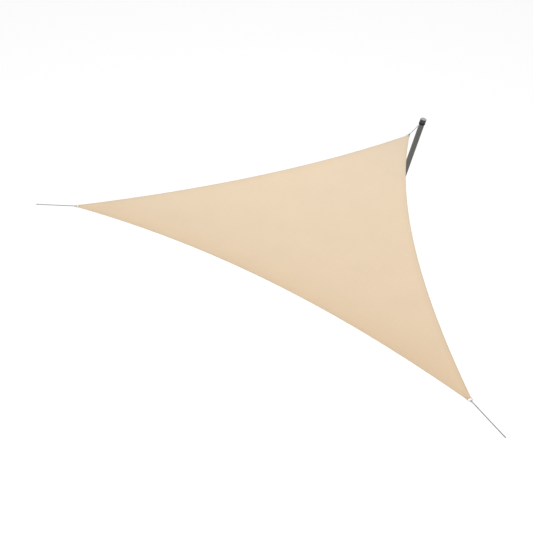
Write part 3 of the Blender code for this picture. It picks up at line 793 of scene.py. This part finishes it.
def make_sail(settings):
    """The cloth: a fine mesh on the same surface as the solid, with folded hems and ring pockets."""
    spots, lines, outline_count = hem_lines()
    room = HEM_WIDTH + HEM_STEP + settings.grid / 2
    row_height = settings.grid * math.sqrt(3) / 2
    rows = math.ceil(SAIL_SIDE / row_height)
    columns = math.ceil(SAIL_SIDE / settings.grid)
    for row in range(-rows, rows + 1):
        for column in range(-columns, columns + 1):
            spot = Vector(((column + (row % 2) / 2) * settings.grid, row * row_height))
            if min(SHAPE.clearance(spot)) > room:
                spots.append(spot)
    flat_spots, _, triangles, _, _, _ = delaunay_2d_cdt(spots, lines, [], 1, 1e-7)
    bm = bmesh.new()
    cut = bm.loops.layers.uv.new("flat_cut")
    hem_shade_layer = bm.verts.layers.float.new("hem_painted_shade")
    near_shade_layer = bm.verts.layers.float.new("near_painted_shade")
    upper = []
    lower = []
    home = {}
    for spot in flat_spots:
        gaps = SHAPE.clearance(spot)
        inside = max(0.0, min(gaps))
        half, tone = cloth_profile(inside)
        lift = ripple(spot, inside)
        for side, skin in ((1, upper), (-1, lower)):
            vert = bm.verts.new(SHAPE.hung(spot, lift + side * half))
            vert[hem_shade_layer] = tone
            # painted shade of the dish along the near edge; the first gap is the near edge's
            vert[near_shade_layer] = math.exp(-(gaps[0] / NEAR_SHADE_BAND) ** 2)
            home[vert] = spot
            skin.append(vert)
    for numbers in triangles:
        bm.faces.new([upper[k] for k in numbers])
        bm.faces.new([lower[k] for k in reversed(numbers)])
    for k in range(outline_count):
        after = (k + 1) % outline_count
        bm.faces.new((upper[k], lower[k], lower[after], upper[after]))
    for face in bm.faces:
        for loop in face.loops:
            loop[cut].uv = home[loop.vert]

    # the cloth folded round each ring's bar
    inner = RING_WIRE / 2 + GAP
    outer = inner + POCKET_WALL
    half = POCKET_LENGTH / 2
    profile = [
        (inner, -half + POCKET_LIP), (inner + POCKET_LIP, -half), (outer - POCKET_LIP, -half),
        (outer, -half + POCKET_LIP), (outer, half - POCKET_LIP), (outer - POCKET_LIP, half),
        (inner + POCKET_LIP, half), (inner, half - POCKET_LIP)]
    for name in SHAPE.corners:
        at = frame_at(SHAPE.bar_middle(name), SHAPE.bar(name), SHAPE.outward(name))
        centre = SHAPE.flat(SHAPE.bar_middle(name))
        for face in add_turned(bm, profile, at, 28):
            for loop in face.loops:
                # the pocket's doubled cloth gets the hem's painted shade
                loop.vert[hem_shade_layer] = HEM_PAINTED_SHADE
                local = at.inverted() @ loop.vert.co
                loop[cut].uv = (centre.x + math.atan2(local.y, local.x) * outer, centre.y + local.z)
    bmesh.ops.recalc_face_normals(bm, faces=bm.faces)
    return keep_piece("sail_cloth", bm, polyester_shade_cloth(settings), ["sail"])


def add_stitch(bm, start, end, normal):
    """One sewn stitch: a short spindle of thread that dips into the cloth at both ends."""
    along = end - start
    side = along.cross(normal).normalized() * STITCH_RADIUS
    raised = normal * STITCH_RADIUS
    # full in the middle, with both ends sunk in
    rings = []
    for share in (0.18, 0.82):
        middle = start + along * share + raised * 0.35
        rings.append([bm.verts.new(middle + side), bm.verts.new(middle + raised),
                      bm.verts.new(middle - side), bm.verts.new(middle - raised)])
    first = bm.verts.new(start - raised * 0.8)
    last = bm.verts.new(end - raised * 0.8)
    for k in range(4):
        after = (k + 1) % 4
        bm.faces.new((first, rings[0][after], rings[0][k]))
        bm.faces.new((rings[0][k], rings[0][after], rings[1][after], rings[1][k]))
        bm.faces.new((rings[1][k], rings[1][after], last))


def make_stitching(settings):
    """Two rows of lockstitch along each hem, and a boxed cross behind each ring, on both faces."""
    bm = bmesh.new()

    def sew(line, spacing):
        marks = even_points(line, spacing)
        for here, there in zip(marks, marks[1:]):
            ends = []
            for share in (0.1, 0.9):
                spot = here.lerp(there, share)
                inside = max(0.0, min(SHAPE.clearance(spot)))
                ends.append((spot, cloth_profile(inside)[0], ripple(spot, inside)))
            for side in (1, -1):
                start, end = (SHAPE.hung(spot, lift + side * half) for spot, half, lift in ends)
                add_stitch(bm, start, end, SHAPE.normal * side)

    for number in range(3):
        for inset in STITCH_ROWS:
            sew(SHAPE.edge_line(number, inset, 200), settings.stitch_spacing)
    for name in SHAPE.corners:
        middle = SHAPE.flat(SHAPE.bar_middle(name))
        out = SHAPE.flat(SHAPE.middle + SHAPE.outward(name))
        across = Vector((-out.y, out.x))
        box = [middle - out * depth + across * (half * way) for (depth, half), way in
               ((BOX_NEAR, -1), (BOX_NEAR, 1), (BOX_FAR, 1), (BOX_FAR, -1), (BOX_NEAR, -1))]
        for start, end in list(zip(box, box[1:])) + [(box[0], box[2]), (box[1], box[3])]:
            sew([start, end], BOX_STITCH)
    return keep_piece("hem_stitching", bm, polyester_thread(settings), crease=80.0)


# ---------------------------------------------------------------- rings
def ring_line(at, steps):
    """A D-ring's centre line; local x along the bar, local z towards the bow."""
    straight = RING_HALF_WIDTH - RING_BEND
    line = [Vector((straight * k / 4, 0.0, 0.0)) for k in range(-4, 4)]
    for k in range(steps + 1):
        angle = math.radians(-90 + 90 * k / steps)
        line.append(Vector((straight + RING_BEND * math.cos(angle), 0.0,
                            RING_BEND + RING_BEND * math.sin(angle))))
    for k in range(6 * steps + 1):
        angle = math.pi * k / (6 * steps)
        line.append(Vector((RING_HALF_WIDTH * math.cos(angle), 0.0,
                            RING_SHOULDER + (RING_DEPTH - RING_SHOULDER) * math.sin(angle))))
    for k in range(steps):
        angle = math.radians(180 + 90 * k / steps)
        line.append(Vector((-straight + RING_BEND * math.cos(angle), 0.0,
                            RING_BEND + RING_BEND * math.sin(angle))))
    return [at @ point for point in line]


def make_ring(corner, material):
    """A welded D-ring, with the small bulge of its butt weld on the shoulder."""
    at = RIG[corner]["ring"]
    line = ring_line(at, 8)
    weld = at @ Vector((-RING_HALF_WIDTH, 0.0, 2 * RING_SHOULDER))
    bm = bmesh.new()
    add_strand(bm, line, RING_WIRE / 2, 20, closed=True)
    for vert in bm.verts:
        near = (vert.co - weld).length
        if near < WELD_REACH:
            middle = min(line, key=lambda point: (point - vert.co).length)
            vert.co += (vert.co - middle).normalized() * WELD_BULGE * (1 - near / WELD_REACH)
    bmesh.ops.recalc_face_normals(bm, faces=bm.faces)
    return keep_piece("d_ring_" + corner, bm, material, ["ring_" + corner])


# ---------------------------------------------------------------- ropes
def braid(settings):
    """How far the braid's skin lies below its highest strands, at a share of a turn and a length."""
    def relief(turned, length):
        one = math.sin(math.pi * settings.ridges * (turned + length / settings.lead))
        other = math.sin(math.pi * settings.ridges * (turned - length / settings.lead))
        return BRAID_DEPTH * (1 - math.sqrt(abs(one * other)))
    return relief


def whipping(at, turns, start, reach):
    """Twine wound round a rope in touching turns; reach(height) is how far its middle lies out."""
    twine = []
    for k in range(turns * TWINE_POINTS + 1):
        angle = math.tau * k / TWINE_POINTS
        height = start + TWINE * k / TWINE_POINTS
        out = reach(height)
        twine.append(at @ Vector((out * math.cos(angle), out * math.sin(angle), height)))
    return twine


def keep_rope(name, strands, settings, material, nodes, twine=()):
    """Braided strands and their whipping as one piece.

    Each strand is its line, its radius, and how much of a loop it is at each point.
    """
    bm = bmesh.new()
    crevice_shade = bm.verts.layers.float.new("crevice_shade")
    loop_layer = bm.verts.layers.float.new("loop_share")
    relief = braid(settings)
    sides = settings.ridges * 4
    for line, radius, loops in strands:
        gone = 0.0
        for k, row in enumerate(add_strand(bm, line, radius, sides, relief)):
            if k:
                gone += (line[k] - line[k - 1]).length
            for step, vert in enumerate(row):
                # how deep the painted shade between the strands lies here
                vert[crevice_shade] = relief(step / sides, gone) / BRAID_DEPTH
                vert[loop_layer] = loops[k]
    if twine:
        for row in add_strand(bm, twine, TWINE / 2, 6):
            for vert in row:
                vert[loop_layer] = max(strands[-1][2])
    return keep_piece(name, bm, material, nodes, crease=75.0)


def splice_radius(height):
    """The rope is thick at the throat and where its own tail lies buried, and tapers to its plain size."""
    plain = ROPE / 2
    table = ((HITCH_THROAT - THROAT_TAPER, plain), (HITCH_THROAT, THROAT_RADIUS),
             (HITCH_THROAT + THROAT_TAPER, THROAT_RADIUS), (HITCH_THROAT + 2 * THROAT_TAPER, HITCH_BODY),
             (HITCH_LENGTH, plain))
    for (low, start), (high, end) in zip(table, table[1:]):
        if height <= high:
            share = max(0.0, (height - low) / (high - low))
            return start + (end - start) * share * share * (3 - 2 * share)
    return plain


def make_splice(name, at, settings, material, node):
    """The rope's loop round a wire, its buried tail, and the whipping that locks the throat."""
    # the loop's legs spread below the throat, and end inside it
    leg = [(HITCH_LEG, HITCH_THROAT + 0.004), (HITCH_LEG + 0.002, HITCH_THROAT - 0.003)]
    bend = []
    for k in range(13):
        angle = math.radians(70 + 220 * k / 12)
        bend.append((HITCH_LOOP * math.sin(angle), HITCH_LOOP * math.cos(angle)))
    outline = leg + bend + [(-across, height) for across, height in reversed(leg)]
    loop = smooth_line([at @ Vector((across, 0.0, height)) for across, height in outline], STRAND_STEP)
    lowest = HITCH_THROAT - THROAT_TAPER
    count = round((HITCH_LENGTH - lowest) / STRAND_STEP)
    heights = [lowest + (HITCH_LENGTH - lowest) * k / count for k in range(count + 1)]
    body = [at @ Vector((0.0, 0.0, height)) for height in heights]
    tail = HITCH_LENGTH - (HITCH_THROAT + THROAT_TAPER)
    fades = [min(1.0, (HITCH_LENGTH - height) / tail) for height in heights]
    strands = [(loop, ROPE / 2, [1.0] * len(loop)),
               (body, [splice_radius(height) for height in heights], fades)]
    twine = whipping(at, SPLICE_TURNS, HITCH_THROAT + SPLICE_WHIPPING,
                     lambda height: splice_radius(height) + 0.0002)
    return keep_rope(name, strands, settings, material, [node], twine)


def rope_line(start, end):
    """A taut rope with its slight sag."""
    count = math.ceil((end - start).length / SAG_STEP) + 1
    points = []
    for step in range(count):
        share = step / (count - 1)
        points.append(start.lerp(end, share) - WORLD_UP * (4 * ROPE_SAG * share * (1 - share)))
    return smooth_line(points, STRAND_STEP)


def make_ropes(settings):
    """The three taut ropes; two have a plain cut end, one runs from the sail to the mast."""
    braided = braided_polypropylene("braided_polypropylene", settings, settings.splice_colour, 0.62)
    waxed = braided_polypropylene("waxed_polypropylene", settings, settings.waxed_colour, 0.50)
    for side in ("left", "right", "mast"):
        pieces = [make_splice("rope_splice_" + side, RIG[side]["hitch"], settings,
                              waxed if side == "mast" else braided, "hitch_" + side)]
        if side == "mast":
            pieces.append(make_splice("rope_splice_eye", RIG["mast"]["eye_hitch"], settings, braided,
                                      "hitch_eye"))
        line = rope_line(RIG[side]["start"], RIG[side]["end"])
        sizes = [ROPE / 2] * len(line)
        twine = []
        if side != "mast":
            # the free end is melted round where it was cut, and whipped with twine
            for k, share in enumerate(CUT_END):
                sizes[-1 - k] = ROPE / 2 * share
            pull = (line[-1] - line[0]).normalized()
            at = frame_at(line[-1] - pull * END_WHIPPING, pull, WORLD_UP)
            twine = whipping(at, END_TURNS, 0.0, lambda height: ROPE / 2)
        rope = keep_rope("braided_rope_" + side, [(line, sizes, [0.0] * len(line))], settings, braided,
                         ["rope_" + side], twine)


# ---------------------------------------------------------------- mast
def make_welds(settings):
    """The coated fillet welds that hold the tube to its foot and the eye to the tube."""
    axis, eye_way = mast_axes()
    tube = frame_at(Vector((0.0, 0.0, 0.0)), axis, eye_way)
    line = []
    count = 180
    for k in range(count):
        angle = math.tau * k / count
        spot = tube @ Vector((MAST_RADIUS * math.cos(angle), MAST_RADIUS * math.sin(angle), 0.0))
        line.append(spot + axis * ((FOOT_THICKNESS - spot.z) / axis.z))

    def ripples(turned, length):
        return BEAD_RIPPLE * abs(math.sin(length * math.pi / BEAD_PITCH))

    bm = bmesh.new()
    add_strand(bm, line, FOOT_BEAD, 10, ripples, closed=True)
    at = frame_at(axis * (MAST_LENGTH - EYE_DROP), eye_way, axis)
    for side in (1, -1):
        ring = [at @ Vector((side * EYE_HALF_HEIGHT + RING_WIRE / 2 * math.cos(math.tau * k / 24),
                             RING_WIRE / 2 * math.sin(math.tau * k / 24),
                             MAST_RADIUS)) for k in range(24)]
        add_strand(bm, ring, EYE_BEAD, 8, closed=True)
    bmesh.ops.recalc_face_normals(bm, faces=bm.faces)
    return keep_piece("mast_welds", bm, weld_metal(settings))


def coat_mast(settings):
    """Real finishes on the mast's own solids."""
    coat = powder_coat(settings)
    plug = moulded_plastic("grey_polyethylene_plug", settings.plug, 0.50, 1.4)
    eye = bent_steel("tumbled_stainless_eye", settings.steel, 0.32)
    for node, material in (("mast_tube", coat), ("mast_foot", coat),
                           ("mast_eye", eye), ("mast_plug", plug)):
        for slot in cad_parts[node].material_slots:
            slot.material = material


def make_sleeve(settings):
    """The moulded sleeve round the mast's top, and the darker rubber band round its lower end."""
    axis, eye_way = mast_axes()
    at = frame_at(axis * MAST_LENGTH, axis, eye_way)
    bore = MAST_RADIUS + GAP
    high = -PLUG_FLANGE - GAP
    low = high - SLEEVE_LENGTH
    join = low + BAND_LENGTH
    # the sleeve starts a hair above the band
    foot = join + 0.0001
    moulding = [
        (bore, foot), (SLEEVE_RADIUS, foot), (SLEEVE_RADIUS, high - 2 * SOFT_EDGE),
        (SLEEVE_RADIUS - 0.4 * SOFT_EDGE, high - SOFT_EDGE),
        (SLEEVE_RADIUS - SOFT_EDGE, high - 0.3 * SOFT_EDGE),
        (SLEEVE_RADIUS - 2 * SOFT_EDGE, high), (bore + SOFT_EDGE, high), (bore, high - SOFT_EDGE)]
    band = [(bore, low + SOFT_EDGE), (bore + SOFT_EDGE, low), (BAND_RADIUS - SOFT_EDGE, low),
            (BAND_RADIUS, low + SOFT_EDGE)]
    # three shallow grooves let the band grip
    for share in (0.25, 0.5, 0.75):
        middle = low + BAND_LENGTH * share
        band += [(BAND_RADIUS, middle - 2 * GROOVE), (BAND_RADIUS - GROOVE, middle - GROOVE),
                 (BAND_RADIUS - GROOVE, middle + GROOVE), (BAND_RADIUS, middle + 2 * GROOVE)]
    band += [(BAND_RADIUS, join - SOFT_EDGE), (BAND_RADIUS - SOFT_EDGE, join), (bore, join)]
    nylon = moulded_plastic("black_nylon_sleeve", settings.sleeve, 0.52, 1.1)
    rubber = moulded_plastic("black_rubber_band", settings.band, 0.70, 1.7)
    for name, profile, material in (
            ("mast_sleeve_moulding", moulding, nylon), ("mast_sleeve_band", band, rubber)):
        bm = bmesh.new()
        add_turned(bm, profile, at, 96)
        bmesh.ops.recalc_face_normals(bm, faces=bm.faces)
        keep_piece(name, bm, material, ["mast_sleeve"], crease=40.0)


# ---------------------------------------------------------------- stage
def make_stage(settings):
    """A pale floor, two soft lights overhead, even light all round, and the camera."""
    scene = bpy.context.scene
    scene.view_settings.view_transform = "Standard"
    bm = bmesh.new()
    bm.faces.new([bm.verts.new((x * FLOOR_HALF, y * FLOOR_HALF, FLOOR_HEIGHT))
                  for x, y in ((-1, -1), (1, -1), (1, 1), (-1, 1))])
    mesh = bpy.data.meshes.new("studio_floor")
    bm.to_mesh(mesh)
    bm.free()
    mesh.materials.append(studio_floor(settings))
    floor = bpy.data.objects.new("studio_floor", mesh)
    scene.collection.objects.link(floor)

    world = bpy.data.worlds.new("even_studio_light")
    world.use_nodes = True
    sky = world.node_tree.nodes["Background"]
    sky.inputs["Color"].default_value = (*settings.fill_colour, 1.0)
    sky.inputs["Strength"].default_value = settings.fill_strength
    scene.world = world

    for name, power, width, spot in (
            ("soft_light_high", settings.high_power, HIGH_LIGHT_WIDTH, HIGH_LIGHT),
            ("soft_light_near", settings.near_power, NEAR_LIGHT_WIDTH, NEAR_LIGHT)):
        light = bpy.data.lights.new(name, "AREA")
        light.shape = "DISK"
        light.size = width
        light.energy = power
        light.color = settings.light_colour
        light.use_shadow = False
        lamp = bpy.data.objects.new(name, light)
        lamp.location = spot
        if name == "soft_light_high":
            # this one faces the sail's middle, the near one straight down
            lamp.rotation_euler = (spot - SHAPE.middle).to_track_quat("Z", "Y").to_euler()
        scene.collection.objects.link(lamp)

    lens = bpy.data.cameras.new("photo_view")
    lens.lens = settings.focal_length
    lens.sensor_width = SENSOR_WIDTH
    lens.clip_end = VIEW_RANGE
    view = bpy.data.objects.new("photo_view", lens)
    view.location = CAMERA
    view.rotation_euler = (CAMERA_TILT, 0.0, 0.0)
    scene.collection.objects.link(view)
    scene.camera = view


# ---------------------------------------------------------------- operators
class SHADE_OT_stage(bpy.types.Operator):
    """Lay the floor, set the lights and place the camera"""
    bl_idname = "shade.stage"
    bl_label = "Stage"

    def execute(self, context):
        make_stage(context.scene.shade_stage)
        return {"FINISHED"}


class SHADE_OT_ropes(bpy.types.Operator):
    """Braid the three ropes and their spliced loops"""
    bl_idname = "shade.ropes"
    bl_label = "Ropes and splices"

    def execute(self, context):
        make_ropes(context.scene.shade_rope)
        return {"FINISHED"}


class SHADE_OT_sail(bpy.types.Operator):
    """Hang the hemmed cloth and sew its hems and corners"""
    bl_idname = "shade.sail"
    bl_label = "Sail and stitching"

    def execute(self, context):
        settings = context.scene.shade_cloth
        sail = make_sail(settings)
        stitching = make_stitching(settings)
        return {"FINISHED"}


class SHADE_OT_rings(bpy.types.Operator):
    """Bend the three corner rings"""
    bl_idname = "shade.rings"
    bl_label = "Corner rings"

    def execute(self, context):
        settings = context.scene.shade_mast
        stainless = bent_steel("tumbled_stainless_steel", settings.steel, 0.32)
        blackened = bent_steel("blackened_steel", settings.dark_steel, 0.50)
        make_ring("left", stainless)
        make_ring("right", stainless)
        make_ring("mast", blackened)
        return {"FINISHED"}


class SHADE_OT_mast(bpy.types.Operator):
    """Coat the mast, its sleeve and its plug, and lay the welds"""
    bl_idname = "shade.mast"
    bl_label = "Mast"

    def execute(self, context):
        settings = context.scene.shade_mast
        coat_mast(settings)
        make_sleeve(settings)
        make_welds(settings)
        return {"FINISHED"}


class SHADE_PT_panel(bpy.types.Panel):
    """Shows the settings of the shade sail and the buttons that make its pieces"""
    bl_idname = "SHADE_PT_panel"
    bl_label = "Shade Sail"
    bl_space_type = "VIEW_3D"
    bl_region_type = "UI"
    bl_category = "Shade Sail"

    def draw(self, context):
        for settings, operators in (
                (context.scene.shade_stage, ("shade.stage",)),
                (context.scene.shade_rope, ("shade.ropes",)),
                (context.scene.shade_cloth, ("shade.sail",)),
                (context.scene.shade_mast, ("shade.rings", "shade.mast"))):
            box = self.layout.box()
            for name in settings.__annotations__:
                box.prop(settings, name)
            for operator in operators:
                box.operator(operator)


CLASSES = (
    ClothSettings, RopeSettings, MastSettings, StageSettings,
    SHADE_OT_stage, SHADE_OT_ropes, SHADE_OT_sail, SHADE_OT_rings, SHADE_OT_mast, SHADE_PT_panel,
)


def register():
    for kind in CLASSES:
        bpy.utils.register_class(kind)
    bpy.types.Scene.shade_cloth = PointerProperty(type=ClothSettings)
    bpy.types.Scene.shade_rope = PointerProperty(type=RopeSettings)
    bpy.types.Scene.shade_mast = PointerProperty(type=MastSettings)
    bpy.types.Scene.shade_stage = PointerProperty(type=StageSettings)


def unregister():
    del bpy.types.Scene.shade_stage
    del bpy.types.Scene.shade_mast
    del bpy.types.Scene.shade_rope
    del bpy.types.Scene.shade_cloth
    for kind in reversed(CLASSES):
        bpy.utils.unregister_class(kind)


def main():
    register()
    for make in (bpy.ops.shade.stage, bpy.ops.shade.ropes, bpy.ops.shade.sail,
                 bpy.ops.shade.rings, bpy.ops.shade.mast):
        make()


if __name__ == "__main__":
    main()
